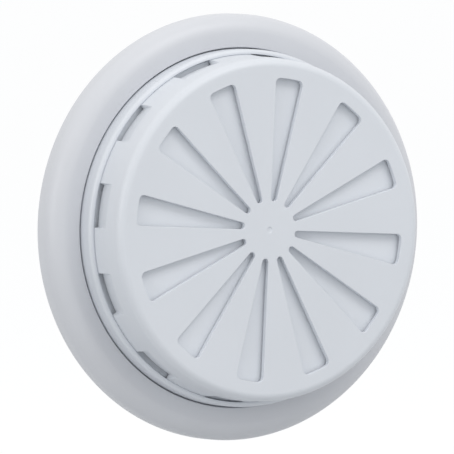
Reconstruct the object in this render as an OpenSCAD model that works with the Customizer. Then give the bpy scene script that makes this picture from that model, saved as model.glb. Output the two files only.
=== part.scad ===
// Round wall ventilation grille with a turning cap that opens and closes the air path.
// Origin: centre of the flange's back face, on the axis. The front faces -Y and +Z is up.
// Sections are drawn round the Z axis with the front upwards, and turned to face -Y at the end.

/* [Wall flange] */
// Width of the flange, from the gap round the cap to the outside
flange_w = 13.35; // [12:0.05:20]
// Height of the straight edge next to the wall
edge_h = 4.2; // [3.6:0.2:6]
// Radius of the rounded rim
rim_round = 7.3; // [6.5:0.1:8]
// How much lower the front is at the cap than at the rim
lip_drop = 0.5; // [0.2:0.1:1]
// Wall thickness of the flange
flange_wall = 2.2; // [1.8:0.1:2.4]
// Number of ribs behind the flange
rib_count = 24; // [8:4:32]
// Thickness of a rib
rib_t = 1.5; // [1:0.1:2]

/* [Duct spigot] */
// Outer diameter of the spigot
spigot_d = 124; // [121:0.5:124.5]
// Wall thickness of the spigot
spigot_wall = 2.4; // [2.2:0.1:2.6]
// Length of the spigot behind the wall's face
spigot_len = 34; // [33:1:60]
// Height of the well's floor over the wall's face
floor_h = 4; // [3.8:0.1:4.6]
// Thickness of the well's floor
floor_t = 2.2; // [1.8:0.1:2.4]

/* [Cap] */
// Outer diameter of the cap's base ring
cap_d = 142.3; // [141.5:0.1:144]
// Gap between the base ring and the flange
groove_gap = 0.5; // [0.4:0.1:1]
// Height of the cap's face over the wall's face
face_h = 36.5; // [34:0.5:38]
// Thickness of the face
face_t = 2.2; // [1.8:0.1:2.4]
// How far the base ring reaches into the well
ring_dip = 2; // [1:0.1:3]
// Height of the base ring's crest
ring_h = 18; // [17.2:0.1:19.2]
// Wall thickness of the base ring
ring_wall = 1.95; // [1.8:0.05:2.1]
// Radius of the base ring's shoulder
ring_round = 1.55; // [1:0.05:1.7]
// Diameter of the side wall where it leaves the base ring
wall_base_d = 138; // [137.6:0.1:138.2]
// Diameter of the side wall at the edge of the face
wall_top_d = 136; // [135.4:0.1:136.6]
// Thickness of the side wall
cap_wall = 1.9; // [1.6:0.1:2]
// Radius of the rounded edge between wall and face
cap_round = 3.3; // [2.8:0.1:3.8]
// Diameter of the gate mark in the middle of the face
gate_d = 2.4; // [1.5:0.1:3]
// Depth of the gate mark
gate_depth = 0.35; // [0.2:0.05:0.5]

/* [Openings] */
// Number of openings round the cap
opening_count = 12; // [8:1:12]
// Place of the first opening, clockwise from the bottom, in degrees
first_angle = 8.8; // [0:0.1:29]
// Angle that a wedge opening spans
wedge_angle = 12; // [9:0.5:13]
// Diameter where the wedge openings begin
wedge_in_d = 23; // [22:0.5:30]
// Diameter where the wedge openings end
wedge_out_d = 120.6; // [112:0.2:121]
// Radius of a wedge's outer corners
wedge_corner = 2; // [1:0.1:2.5]
// Angle that a side scoop spans
scoop_angle = 14.2; // [10:0.2:14.4]
// Height of a scoop's upper end
scoop_top_h = 26.4; // [25:0.2:28]
// Depth of a scoop at its slit
scoop_depth = 1.9; // [1.5:0.1:2.1]
// Wall thickness of a scoop
scoop_wall = 1.6; // [1.2:0.1:1.7]
// Angle of the cheek on each side of a scoop
cheek_angle = 1.2; // [0.8:0.1:1.4]

/* [Shutter drum] */
// Gap between the cap's face and the drum's face
shutter_gap = 0.8; // [0.6:0.1:1]
// Outer diameter of the drum
drum_d = 128.6; // [128:0.1:129]
// Wall thickness of the drum
drum_wall = 1.6; // [1.5:0.1:1.7]
// Thickness of the drum's face
drum_face_t = 2; // [1.6:0.1:2.4]
// Radius of the drum's front edge
drum_round = 1.2; // [0.8:0.1:1.4]
// How far the brim's front lies behind the base ring's crest
brim_drop = 2; // [1.9:0.1:4]
// Thickness of the brim
brim_t = 1.6; // [1.4:0.1:2]
// Gap between the brim and the cap's base ring
brim_gap = 0.5; // [0.4:0.1:0.7]
// Width of the rim outside the brim's slots
brim_rim = 1.1; // [0.9:0.1:1.4]
// How much wider than a scoop a brim slot is, in degrees
slot_extra_angle = 0.8; // [0:0.1:1.2]
// Number of snap feet
foot_count = 6; // [3:1:8]
// Thickness of a snap foot
foot_t = 1.2; // [1:0.05:1.3]
// Angle that a snap foot spans
foot_angle = 8; // [5:0.5:10]
// How far a foot's hook reaches outwards behind the floor
hook_reach = 0.9; // [0.6:0.1:1.2]
// Height of a foot's hook
hook_h = 1.2; // [0.8:0.1:1.3]
// Gap round a foot in the floor
foot_gap = 0.15; // [0.1:0.05:0.3]

/* [Pivot] */
// Diameter of the boss that the cap turns on
boss_d = 9; // [8:0.5:10]
// Running clearance of the boss in its bore, on the radius
boss_gap = 0.08; // [0.05:0.01:0.1]
// Diameter of the drum's hub
hub_d = 20; // [19:0.5:21]
// Length of the drum's hub
hub_len = 6; // [5:0.5:7]
// Length of the stop rib out from the axis
stop_len = 8.6; // [8:0.1:8.8]
// Width of the stop rib
stop_w = 2.4; // [2:0.1:3]
// How deep the stop rib reaches into the hub
stop_depth = 1.7; // [1.2:0.1:2.5]
// Gap at each end of the stop rib's travel
stop_gap = 0.2; // [0.1:0.05:0.3]
// Shank diameter of the pivot screw
screw_d = 3; // [2.5:0.1:3.5]
// Gap between the screw's shank and its hole
screw_gap = 0.05; // [0.03:0.01:0.1]
// Head diameter of the pivot screw
head_d = 7.2; // [6:0.2:8]
// Head height of the pivot screw
head_h = 2.4; // [2:0.1:3]
// Width of the cross recess in the head
cross_w = 1; // [0.8:0.1:1.2]
// Length of the cross recess
cross_len = 4.2; // [3.4:0.1:4.6]
// Depth of the cross recess
cross_depth = 1.5; // [1:0.1:1.7]
// Outer diameter of the plain washer
washer_d = 16.4; // [15.8:0.2:18]
// Thickness of the plain washer
washer_t = 1; // [0.8:0.1:1.5]
// Outer diameter of the spring washer
spring_d = 15.6; // [14:0.2:15.6]
// Thickness of the spring washer
spring_t = 0.4; // [0.3:0.05:0.5]
// Height of the spring washer
spring_h = 0.9; // [0.8:0.05:1.2]

/* [Insect screen] */
// Thickness of the screen
screen_t = 1; // [0.8:0.1:1.2]
// Distance between the screen's ridges
screen_pitch = 9; // [8.8:0.2:12]
// Width of a ridge of the screen
ridge_w = 1.6; // [1:0.1:2]
// Wall thickness of the screen ring
sleeve_wall = 2.9; // [2.7:0.1:4]
// Length of the screen ring inside the spigot
sleeve_len = 7; // [6:0.5:8]
// Thickness of the screen ring's lip
ring_lip_t = 2; // [1.5:0.1:3]
// How far the ring's lip stays inside the spigot's outside
ring_lip_inset = 1.1; // [1:0.1:1.6]
// Gap between the screen ring and what it fits
ring_gap = 0.1; // [0.05:0.05:0.15]
// Radius of the ring's snap bead
bead_r = 0.5; // [0.4:0.05:0.6]

/* [Spring clips] */
// Number of spring clips
clip_count = 4; // [3:1:4]
// Width of a clip
clip_w = 11; // [9:0.5:12]
// Thickness of a clip
clip_t = 0.5; // [0.4:0.05:0.6]
// Distance from the wall's face to a clip's front end
clip_start = 4; // [3:0.5:5]
// Length of a clip's foot
clip_foot = 9; // [8:0.5:10]
// Length of a clip's arm
clip_arm = 11; // [9:0.5:11.5]
// How far a pressed-in tip stands out of the spigot
tip_out = 0.2; // [0:0.05:0.25]
// Gap round a clip in its pocket
clip_gap = 0.5; // [0.3:0.1:0.8]
// Diameter of a rivet's shank
rivet_d = 3; // [2.5:0.1:3.4]
// Diameter of a rivet's head
rivet_head_d = 5.6; // [5:0.2:6.2]
// Thickness of a rivet's head
rivet_head_t = 0.6; // [0.5:0.05:0.7]

/* [Gasket] */
// Thickness of the foam gasket
gasket_t = 3; // [2:0.5:3.5]
// Width of the foam gasket
gasket_w = 6; // [4:0.5:6.5]

/* [Hidden] */
$fn = 128;
over = 1;                                       // how far a cut runs past what it cuts
play = 0.05;                                    // gap between parts that only lie against each other
pitch = 360 / opening_count;
travel = pitch / 2;                             // turn of the cap from closed to open
slot_inset = 0.1;                               // from the drum's wall to a brim slot
ledge_drop = 0.3;                               // the step just under the ring's crest
ledge_t = 1.2;
flat_share = 0.6;                               // part of a wedge's outer edge that is a plain arc
screw_run_out = 0.3;                            // how far the screw's hole goes into the face
screw_end_gap = 0.4;
washer_gap = 0.3;                               // between a washer and what goes through it
pocket_depth = 1.3;                             // flat for a clip's foot, measured at its middle
seat_depth = 1.1;                               // groove that holds the screen
seat_back = 3.1;                                // from the ring's front end to the screen's middle
bead_back = 1.3;                                // from the ring's front end to its bead
screen_margin = 0.6;                            // screen left closed next to the ring, in pitches
gasket_inset = 1;
bend_in = 0.9;                                  // how far a clip's arm first goes inwards
bend_share = 0.35;                              // where along the arm it turns outwards
tip_share = 0.85;                               // where along the arm its tip stands out
rivet_bite = 0.1;                               // how far the inner head lies in the duct's wall

ring_r = cap_d / 2;
well_r = ring_r + groove_gap;
flange_r = well_r + flange_w;
rim_r = flange_r - rim_round;                   // centre of the rounded rim
well_out_r = well_r + flange_wall;
front_h = edge_h + rim_round;                   // highest point of the flange
lip_h = front_h - lip_drop;
spigot_r = spigot_d / 2;
duct_r = spigot_r - spigot_wall;
floor_back = floor_h - floor_t;

ring_in_r = ring_r - ring_wall;
skirt_h = lip_h - ring_dip;
corner_h = face_h - cap_round;
wall_base_r = wall_base_d / 2;
wall_top_r = wall_top_d / 2;
ledge_top = ring_h - ledge_drop;
ledge_back = ledge_top - ledge_t;
flat_r = wall_top_r - cap_round;                // edge of the flat face
back_h = face_h - face_t;                       // back of the cap's face
scoop_in_r = wall_base_r - scoop_depth;
cheek_h = 1.5;                                  // how far a scoop's body runs on above its hollow
scoop_top_r = wall_base_r + (wall_top_r - wall_base_r) * (scoop_top_h - ledge_top) / (corner_h - ledge_top);

wedge_in_r = wedge_in_d / 2;
wedge_out_r = wedge_out_d / 2;

drum_r = drum_d / 2;
drum_h = back_h - shutter_gap;
drum_back = drum_h - drum_face_t;
brim_h = ring_h - brim_drop;
brim_back = brim_h - brim_t;
brim_r = ring_in_r - brim_gap;
foot_out_r = drum_r - 2 * play;
foot_in_r = foot_out_r - foot_t;

boss_r = boss_d / 2;
bore_r = boss_r + boss_gap;
hub_r = hub_d / 2;
hub_back = drum_h - hub_len;
boss_end = hub_back - spring_h - play;
screw_r = screw_d / 2;
screw_hole_r = screw_r + screw_gap;
screw_hole_end = back_h + screw_run_out;
screw_tip = screw_hole_end - screw_end_gap;
stop_bottom = drum_h - stop_depth;
stop_angle = 90;                                // the stop rib points up when the cap is closed

sleeve_r = duct_r - ring_gap;
sleeve_end = sleeve_len - spigot_len;
screen_h = sleeve_end - seat_back;              // middle of the screen
ring_bore_r = sleeve_r - sleeve_wall;
screen_r = ring_bore_r + seat_depth;
bead_h = sleeve_end - bead_back;

clip_angles = [for (i = [0 : clip_count - 1]) 45 + i * 360 / clip_count];
pocket_r = spigot_r - pocket_depth;             // flat that a clip's foot lies on
clip_w_half = clip_w / 2;
clip_bend = -clip_start - clip_foot;
clip_end = clip_bend - clip_arm;
rivet_h = -clip_start - clip_foot / 2;

// Turns a part from its own frame, front upwards, to face -Y.
module face_front() {
    rotate([90, 0, 0]) children();
}

// Turns a part that lies along +X to an angle clockwise from the bottom, seen from the front.
module clockwise(angle) {
    rotate([0, 0, -90 - angle]) children();
}

// The part of a turned section that lies within an angle either side of +X.
module sector(angle) {
    rotate([0, 0, -angle / 2]) rotate_extrude(angle = angle) children();
}

module box_2d(x0, y0, x1, y1) {
    translate([x0, y0]) square([x1 - x0, y1 - y0]);
}

function polar(r, angle) = [r * cos(angle), r * sin(angle)];

// Points of an arc about a centre, from one angle to another.
function arc(centre, r, from, to, steps) =
    [for (i = [0 : steps]) centre + polar(r, from + (to - from) * i / steps)];

// Wedge opening along +X, with a round inner end and rounded outer corners.
module wedge_2d() {
    half = wedge_angle / 2;
    end_x = wedge_in_r / (1 - sin(half));
    end_r = end_x * sin(half);
    corner_x = wedge_out_r - wedge_corner;
    corner_angle = half - asin(wedge_corner / corner_x);
    polygon(concat(
        arc([end_x, 0], end_r, 90 + half, 270 - half, 8),
        arc(polar(corner_x, -corner_angle), wedge_corner, -90 - half, -corner_angle, 6),
        arc([0, 0], wedge_out_r, -corner_angle * flat_share, corner_angle * flat_share, 3),
        arc(polar(corner_x, corner_angle), wedge_corner, corner_angle, 90 + half, 6)
    ));
}

// All wedge openings, cut from one height to another.
module wedges(z0, z1, turn) {
    for (i = [0 : opening_count - 1])
        clockwise(first_angle + i * pitch + turn)
            translate([0, 0, z0]) linear_extrude(z1 - z0) wedge_2d();
}

module flange_section() {
    difference() {
        union() {
            polygon([[well_r, 0], [rim_r, 0], [rim_r, front_h], [well_r, lip_h]]);
            box_2d(rim_r, 0, flange_r, edge_h);
            translate([rim_r, edge_h]) circle(rim_round);
        }
        box_2d(well_out_r, -over, flange_r - flange_wall, edge_h);
        box_2d(well_out_r, -over, rim_r, lip_h - flange_wall);
        translate([rim_r, edge_h]) circle(rim_round - flange_wall);
        box_2d(0, -2 * rim_round, 2 * flange_r, 0);
        box_2d(0, -over, well_out_r, floor_back);
    }
    box_2d(duct_r, floor_back, well_out_r, floor_h);
    box_2d(duct_r, -spigot_len, spigot_r, floor_h);
}

// Space behind the flange that the ribs fill, down to the gasket.
module rib_section() {
    box_2d(well_out_r - play, gasket_t, rim_r, lip_h - flange_wall + play);
    box_2d(rim_r, gasket_t, flange_r - flange_wall + play, edge_h);
    intersection() {
        translate([rim_r, edge_h]) circle(rim_round - flange_wall + play);
        box_2d(well_out_r, gasket_t, flange_r, front_h);
    }
}

module flange_ribs() {
    intersection() {
        rotate_extrude() rib_section();
        for (i = [0 : rib_count - 1])
            rotate([0, 0, i * 360 / rib_count])
                translate([well_r, -rib_t / 2, 0]) cube([flange_r - well_r, rib_t, front_h]);
    }
}

// Hole in the floor for a foot of the drum.
module foot_slot() {
    sector(foot_angle + 2 * foot_gap)
        box_2d(foot_in_r - foot_gap, floor_back - over, foot_out_r + foot_gap, floor_h + over);
}

// Flat for a clip's foot, and the window that its arm moves in.
module clip_pocket() {
    half = clip_w_half + clip_gap;
    translate([pocket_r, -half, clip_bend])
        cube([spigot_wall, 2 * half, clip_foot + clip_gap]);
    translate([duct_r - over, -half, clip_end - clip_gap])
        cube([spigot_wall + 2 * over, 2 * half, clip_arm + clip_gap]);
    translate([0, 0, rivet_h]) rotate([0, 90, 0]) cylinder(r = rivet_d / 2, h = spigot_r);
}

module wall_flange() {
    color([0.93, 0.94, 0.95]) face_front() difference() {
        union() {
            rotate_extrude() flange_section();
            flange_ribs();
        }
        for (i = [0 : foot_count - 1]) rotate([0, 0, i * 360 / foot_count]) foot_slot();
        for (angle = clip_angles) rotate([0, 0, angle]) clip_pocket();
        rotate_extrude() translate([duct_r - ring_gap, bead_h]) circle(bead_r + ring_gap);
    }
}

module drum_section() {
    box_2d(0, drum_back, drum_r - drum_round, drum_h);
    box_2d(drum_r - drum_wall, brim_back, drum_r, drum_h - drum_round);
    translate([drum_r - drum_round, drum_h - drum_round]) circle(drum_round);
    box_2d(drum_r - drum_wall, brim_back, brim_r, brim_h);
    box_2d(0, hub_back, hub_r, drum_h);
}

// Foot that goes through the floor and hooks behind it.
module drum_foot() {
    sector(foot_angle) {
        box_2d(foot_in_r, floor_h, foot_out_r, brim_back + brim_t / 2);
        box_2d(foot_in_r, floor_back - play - hook_h, foot_out_r, floor_h);
        polygon([
            [foot_in_r, floor_back - play - hook_h],
            [foot_out_r, floor_back - play - hook_h],
            [foot_out_r + hook_reach, floor_back - play],
            [foot_in_r, floor_back - play]
        ]);
    }
}

// Recess in the hub that lets the stop rib travel, open towards the cap.
module stop_recess() {
    half_w = stop_w / 2 + stop_gap;
    reach = norm([stop_len, stop_w / 2]) + stop_gap;
    corner = asin(half_w / reach);
    floor_z = stop_bottom - stop_gap;
    rotate([0, 0, stop_angle]) translate([0, 0, floor_z]) linear_extrude(hub_len) polygon(concat(
        [polar(half_w, travel + 90), [0, 0], polar(half_w, -90)],
        arc([0, 0], reach, -corner, travel + corner, 6)
    ));
}

module shutter_drum() {
    color([0.9, 0.91, 0.93]) face_front() {
        difference() {
            rotate_extrude() drum_section();
            wedges(drum_back - over, drum_h + over, -travel);
            for (i = [0 : opening_count - 1])
                clockwise(first_angle + i * pitch - travel)
                    sector(scoop_angle + slot_extra_angle)
                        box_2d(drum_r + slot_inset, brim_back - over, brim_r - brim_rim, brim_h + over);
            translate([0, 0, hub_back - over]) cylinder(r = bore_r, h = hub_len + 2 * over);
            stop_recess();
        }
        for (i = [0 : foot_count - 1]) rotate([0, 0, i * 360 / foot_count]) drum_foot();
    }
}

module ring_section() {
    box_2d(ring_in_r, skirt_h, ring_r, ring_h - ring_round);
    box_2d(ring_in_r, skirt_h, ring_r - ring_round, ring_h);
    intersection() {
        translate([ring_r - ring_round, ring_h - ring_round]) circle(ring_round);
        box_2d(ring_in_r, skirt_h, ring_r, ring_h);
    }
}

module cap_section() {
    ring_section();
    box_2d(wall_base_r - cap_wall, ledge_back, ring_in_r + play, ledge_top);
    difference() {
        union() {
            polygon([[0, ledge_back], [wall_base_r, ledge_back], [wall_base_r, ledge_top],
                [wall_top_r, corner_h], [0, corner_h]]);
            translate([flat_r, corner_h]) circle(cap_round);
            box_2d(0, corner_h, flat_r, face_h);
        }
        polygon([[0, ledge_back - over], [wall_base_r - cap_wall, ledge_back - over],
            [wall_base_r - cap_wall, ledge_back], [flat_r + cap_round - face_t, corner_h], [0, corner_h]]);
        translate([flat_r, corner_h]) circle(cap_round - face_t);
        box_2d(0, ledge_back, flat_r, back_h);
    }
}

// Body that a scoop is sunk into, behind the side wall.
module scoop_body() {
    bottom = ring_h - scoop_wall / 3;
    sector(scoop_angle + 2 * cheek_angle) polygon([
        [scoop_in_r - scoop_wall, bottom],
        [wall_base_r - cap_wall / 2, bottom],
        [scoop_top_r - cap_wall / 2, scoop_top_h + cheek_h],
        [scoop_top_r - cap_wall - play, scoop_top_h + cheek_h]
    ]);
}

// Hollow of a scoop in front of its sloping floor, and the slit under it.
module scoop_hollow() {
    inside = scoop_in_r - scoop_wall - over;
    sector(scoop_angle) polygon([
        [inside, ledge_back - over],
        [ring_in_r + 2 * play, ledge_back - over],
        [ring_in_r + 2 * play, ring_h + 2 * play],
        [ring_r + over, ring_h + 2 * play],
        [ring_r + over, scoop_top_h],
        [scoop_top_r, scoop_top_h],
        [scoop_in_r, ring_h],
        [inside, ring_h]
    ]);
}

module cap_boss() {
    difference() {
        union() {
            translate([0, 0, boss_end]) cylinder(r = boss_r, h = back_h + play - boss_end);
            rotate([0, 0, stop_angle])
                translate([0, -stop_w / 2, stop_bottom])
                    cube([stop_len, stop_w, back_h + play - stop_bottom]);
        }
        translate([0, 0, boss_end - over]) cylinder(r = screw_hole_r, h = screw_hole_end - boss_end + over);
    }
}

module front_cap() {
    color([0.96, 0.97, 0.98]) face_front() {
        difference() {
            union() {
                rotate_extrude() cap_section();
                for (i = [0 : opening_count - 1]) clockwise(first_angle + i * pitch) scoop_body();
            }
            wedges(back_h - over, face_h + over, 0);
            for (i = [0 : opening_count - 1]) clockwise(first_angle + i * pitch) scoop_hollow();
            translate([0, 0, back_h - over]) cylinder(r = screw_hole_r, h = screw_hole_end - back_h + over);
            translate([0, 0, face_h - gate_depth]) cylinder(r = gate_d / 2, h = gate_depth + over);
        }
        cap_boss();
    }
}

module pivot_screw() {
    head_top = boss_end - washer_t;
    color([0.75, 0.76, 0.78]) face_front() difference() {
        union() {
            translate([0, 0, head_top]) cylinder(r = screw_r, h = screw_tip - head_top);
            translate([0, 0, head_top - head_h / 2]) cylinder(r = head_d / 2, h = head_h / 2);
            translate([0, 0, head_top - head_h])
                cylinder(r1 = head_d / 2 - head_h / 3, r2 = head_d / 2, h = head_h / 2);
        }
        for (angle = [45, 135])
            rotate([0, 0, angle])
                translate([-cross_len / 2, -cross_w / 2, head_top - head_h - over])
                    cube([cross_len, cross_w, cross_depth + over]);
    }
}

module pivot_washer() {
    color([0.7, 0.71, 0.73]) face_front()
        rotate_extrude() box_2d(screw_r + washer_gap, boss_end - washer_t, washer_d / 2, boss_end);
}

module spring_washer() {
    color([0.55, 0.56, 0.58]) face_front() rotate_extrude() polygon([
        [boss_r + washer_gap, hub_back - spring_t],
        [spring_d / 2, hub_back - spring_h],
        [spring_d / 2, hub_back - spring_h + spring_t],
        [boss_r + washer_gap, hub_back]
    ]);
}

module wall_gasket() {
    gasket_out_r = flange_r - flange_wall - gasket_inset;
    color([0.25, 0.26, 0.28]) face_front()
        rotate_extrude() box_2d(gasket_out_r - gasket_w, 0, gasket_out_r, gasket_t);
}

module screen_ring() {
    color([0.86, 0.87, 0.89]) face_front() rotate_extrude() difference() {
        union() {
            box_2d(ring_bore_r, -spigot_len, sleeve_r, sleeve_end);
            box_2d(ring_bore_r, -spigot_len - ring_lip_t, spigot_r - ring_lip_inset, -spigot_len);
            translate([duct_r - ring_gap, bead_h]) circle(bead_r);
        }
        box_2d(0, screen_h - screen_t / 2 - play, screen_r + play, screen_h + screen_t / 2 + play);
    }
}

// Square gaps of the screen whose middle lies well inside the ring.
module screen_gaps() {
    gap = screen_pitch - ridge_w;
    reach = floor(ring_bore_r / screen_pitch);
    for (i = [-reach : reach], j = [-reach : reach])
        if ((norm([i, j]) + screen_margin) * screen_pitch < ring_bore_r)
            translate([i * screen_pitch, j * screen_pitch]) square(gap, center = true);
}

module insect_screen() {
    color([0.5, 0.52, 0.54]) face_front()
        translate([0, 0, screen_h - screen_t / 2]) linear_extrude(screen_t) difference() {
            circle(screen_r);
            screen_gaps();
        }
}

// Side view of a clip: foot on its flat, arm bent in and then out to the tip.
function clip_line() = let (foot_r = pocket_r + clip_t / 2) [
    [foot_r, -clip_start],
    [foot_r, clip_bend],
    [foot_r - bend_in, clip_bend - bend_share * clip_arm],
    [spigot_r + tip_out - clip_t, clip_bend - tip_share * clip_arm],
    [foot_r, clip_end]
];

// Edge of a bent strip: its middle line moved sideways by half its thickness.
function strip_edge(line, offset) = [
    for (i = [0 : len(line) - 1])
        let (
            a = line[max(i - 1, 0)],
            b = line[min(i + 1, len(line) - 1)],
            along = (b - a) / norm(b - a)
        )
        line[i] + offset * [-along[1], along[0]]
];

module clip_strip() {
    line = clip_line();
    left = strip_edge(line, clip_t / 2);
    right = strip_edge(line, -clip_t / 2);
    polygon(concat(left, [for (i = [len(right) - 1 : -1 : 0]) right[i]]));
}

module spring_clip(i) {
    color([0.72, 0.74, 0.77]) face_front() rotate([0, 0, clip_angles[i]]) difference() {
        translate([0, clip_w_half, 0]) rotate([90, 0, 0]) linear_extrude(clip_w) clip_strip();
        translate([0, 0, rivet_h]) rotate([0, 90, 0]) cylinder(r = rivet_d / 2, h = flange_r);
    }
}

module clip_rivets() {
    outer = pocket_r + clip_t;
    inner = duct_r - rivet_bite;
    color([0.6, 0.61, 0.63]) face_front() for (angle = clip_angles)
        rotate([0, 0, angle]) translate([0, 0, rivet_h]) rotate([0, 90, 0]) {
            translate([0, 0, inner - rivet_head_t])
                cylinder(r = rivet_d / 2, h = outer + rivet_head_t - inner + rivet_head_t);
            translate([0, 0, inner - rivet_head_t]) cylinder(r = rivet_head_d / 2, h = rivet_head_t);
            translate([0, 0, outer]) cylinder(r = rivet_head_d / 2, h = rivet_head_t);
        }
}

wall_flange();
shutter_drum();
front_cap();
pivot_screw();
pivot_washer();
spring_washer();
wall_gasket();
screen_ring();
insect_screen();
spring_clip(0);  // spring_clip_1
spring_clip(1);  // spring_clip_2
spring_clip(2);  // spring_clip_3
spring_clip(3);  // spring_clip_4
clip_rivets();
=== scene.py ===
import bpy
import bmesh
import math
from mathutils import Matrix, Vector


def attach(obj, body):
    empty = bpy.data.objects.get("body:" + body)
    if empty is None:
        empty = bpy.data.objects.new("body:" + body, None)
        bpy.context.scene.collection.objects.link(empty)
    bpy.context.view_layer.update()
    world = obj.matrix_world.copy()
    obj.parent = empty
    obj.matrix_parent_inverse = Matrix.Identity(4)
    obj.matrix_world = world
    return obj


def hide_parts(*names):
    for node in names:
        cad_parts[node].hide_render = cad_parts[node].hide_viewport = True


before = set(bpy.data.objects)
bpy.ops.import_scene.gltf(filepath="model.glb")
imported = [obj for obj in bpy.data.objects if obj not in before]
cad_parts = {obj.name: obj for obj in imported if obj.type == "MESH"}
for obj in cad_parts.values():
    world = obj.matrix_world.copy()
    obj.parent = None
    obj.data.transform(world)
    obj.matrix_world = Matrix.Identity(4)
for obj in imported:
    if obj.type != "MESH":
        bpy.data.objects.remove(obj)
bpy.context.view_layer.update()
scene = bpy.context.scene
mm = 0.001

# The row frame: +Y goes into the wall, the front faces -Y and +Z is up.
# Pieces are drawn round the axis as (radius, height over the wall) in mm and placed by toRow.


# sRGB hex to the linear numbers that Blender's sockets take.
def linearColour(code):
    parts = [int(code[i:i + 2], 16) / 255 for i in (1, 3, 5)]
    return tuple(c / 12.92 if c <= 0.04045 else ((c + 0.055) / 1.055) ** 2.4 for c in parts) + (1,)


def addNode(tree, kind, settings=None, inputs=None):
    node = tree.nodes.new(kind)
    for name, value in (settings or {}).items():
        setattr(node, name, value)
    for name, value in (inputs or {}).items():
        if hasattr(value, "is_linked"):
            tree.links.new(value, node.inputs[name])
        else:
            node.inputs[name].default_value = value
    return node


camera = {
    "azimuth": -29.236,      # degrees, the camera stands left of the axis
    "elevation": 2.5,
    "distance": 4.711,       # metres
    "focal": 937.7,          # mm on a 36 mm sensor
    "right": 0.00084,        # where the picture's middle lies from the origin
    "up": -0.00016,
    "sensor": 36,
    "near": 0.1,
    "far": 60,
}


def makeCamera(c):
    a, e = math.radians(c["azimuth"]), math.radians(c["elevation"])
    back = Vector((math.sin(a) * math.cos(e), -math.cos(a) * math.cos(e), math.sin(e)))
    turn = (-back).to_track_quat("-Z", "Y")
    data = bpy.data.cameras.new("camera")
    data.sensor_width = c["sensor"]
    data.lens = c["focal"]
    data.clip_start, data.clip_end = c["near"], c["far"]
    obj = bpy.data.objects.new("camera", data)
    scene.collection.objects.link(obj)
    obj.rotation_mode = "QUATERNION"
    obj.rotation_quaternion = turn
    obj.location = turn @ Vector((c["right"], c["up"], 0)) + back * c["distance"]
    scene.camera = obj


makeCamera(camera)
scene.view_settings.view_transform = "Standard"

print("stage and light")

studio = {
    "level": 0.72,           # light from the walls of the studio
    "rise": 0.25,            # how much more comes from straight above
    "floorHeight": -0.125,   # metres; the grille hangs clear of the floor, as it would on its duct
    "floorSize": 12.0,
    "floorColour": "#c0c2c4",
    "floorWhite": 0.62,      # share of plain white that the camera sees in the floor
    "floorGlow": 1.3,        # strength of that white
}

lamps = {
    "top": {"place": (0.3, -1.1, 1.3), "size": (0.9, 0.7), "power": 7.3},
    "left": {"place": (-1.6, -0.55, 0.25), "size": (0.6, 1.0), "power": 4.9},
}


# 1 for camera, glossy and transmitted rays, 0 for the light that falls on the object.
def seenDirectly(tree):
    path = addNode(tree, "ShaderNodeLightPath")
    first = addNode(tree, "ShaderNodeMath", {"operation": "MAXIMUM"},
                    {0: path.outputs["Is Camera Ray"], 1: path.outputs["Is Glossy Ray"]})
    return addNode(tree, "ShaderNodeMath", {"operation": "MAXIMUM"},
                   {0: first.outputs[0], 1: path.outputs["Is Transmission Ray"]}).outputs[0]


def makeWorld(c):
    world = bpy.data.worlds.new("studio")
    scene.world = world
    world.use_nodes = True
    tree = world.node_tree
    tree.nodes.clear()
    direction = addNode(tree, "ShaderNodeTexCoord")
    height = addNode(tree, "ShaderNodeSeparateXYZ", None, {0: direction.outputs["Generated"]})
    level = addNode(tree, "ShaderNodeMath", {"operation": "MULTIPLY_ADD"},
                    {0: height.outputs["Z"], 1: c["rise"], 2: c["level"]})
    dim = addNode(tree, "ShaderNodeBackground", None,
                  {"Color": (1, 1, 1, 1), "Strength": level.outputs[0]})
    white = addNode(tree, "ShaderNodeBackground", None, {"Color": (1, 1, 1, 1), "Strength": 1})
    mixed = addNode(tree, "ShaderNodeMixShader", None,
                    {0: seenDirectly(tree), 1: dim.outputs[0], 2: white.outputs[0]})
    addNode(tree, "ShaderNodeOutputWorld", None, {"Surface": mixed.outputs[0]})


# A plain pale floor: white to the camera, but part of it stays real so that it keeps the shadow.
def makeFloor(c):
    mat = bpy.data.materials.new("pale floor")
    mat.use_nodes = True
    tree = mat.node_tree
    tree.nodes.clear()
    matt = addNode(tree, "ShaderNodeBsdfDiffuse", None, {"Color": linearColour(c["floorColour"])})
    white = addNode(tree, "ShaderNodeEmission", None, {"Color": (1, 1, 1, 1), "Strength": c["floorGlow"]})
    share = addNode(tree, "ShaderNodeMath", {"operation": "MULTIPLY"},
                    {0: seenDirectly(tree), 1: c["floorWhite"]})
    mixed = addNode(tree, "ShaderNodeMixShader", None,
                    {0: share.outputs[0], 1: matt.outputs[0], 2: white.outputs[0]})
    addNode(tree, "ShaderNodeOutputMaterial", None, {"Surface": mixed.outputs[0]})
    h, r = c["floorHeight"], c["floorSize"]
    mesh = bpy.data.meshes.new("floor")
    mesh.from_pydata([(-r, -r, h), (r, -r, h), (r, r, h), (-r, r, h)], [], [(0, 1, 2, 3)])
    mesh.materials.append(mat)
    floor = bpy.data.objects.new("floor", mesh)
    scene.collection.objects.link(floor)


# A soft box that faces the object.
def makeLamp(name, c):
    data = bpy.data.lights.new(name, "AREA")
    data.shape = "RECTANGLE"
    data.size, data.size_y = c["size"]
    data.energy = c["power"]
    obj = bpy.data.objects.new(name, data)
    scene.collection.objects.link(obj)
    obj.location = c["place"]
    obj.rotation_mode = "QUATERNION"
    obj.rotation_quaternion = (-Vector(c["place"])).to_track_quat("-Z", "Y")


makeWorld(studio)
makeFloor(studio)
for lampName, lamp in lamps.items():
    makeLamp(lampName, lamp)

print("materials")


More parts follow.
